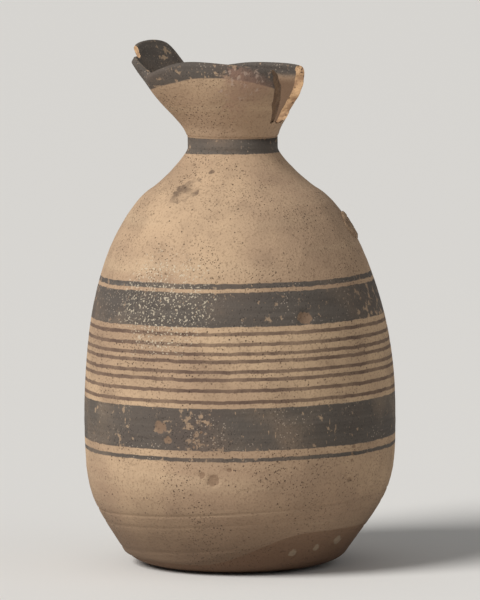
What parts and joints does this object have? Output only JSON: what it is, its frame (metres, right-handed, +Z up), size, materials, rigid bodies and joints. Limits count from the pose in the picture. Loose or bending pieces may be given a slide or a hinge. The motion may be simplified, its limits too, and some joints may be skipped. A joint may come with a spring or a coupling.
{
  "type": "painted jug",
  "caption": "Wheel-made clay jug with an ovoid body, painted bands, a flared pinched mouth with a raised spout, and a gap where its handle broke off.",
  "frame": {"origin": "on the resting plane, under the middle of the belly", "axes": "+Z up along the jug's axis, the spout towards -X, the lost handle near +X"},
  "size_m": [0.18, 0.18, 0.3004],
  "materials": {
    "clay": "matt",
    "mouth_clay": "matt",
    "lute_clay": "matt",
    "broken_clay": "rough"
  },
  "bodies": {
    "root": {"body": "clay", "neck": "mouth_clay", "neck_lute": "lute_clay", "handle_root": "broken_clay"}
  },
  "joints": []
}
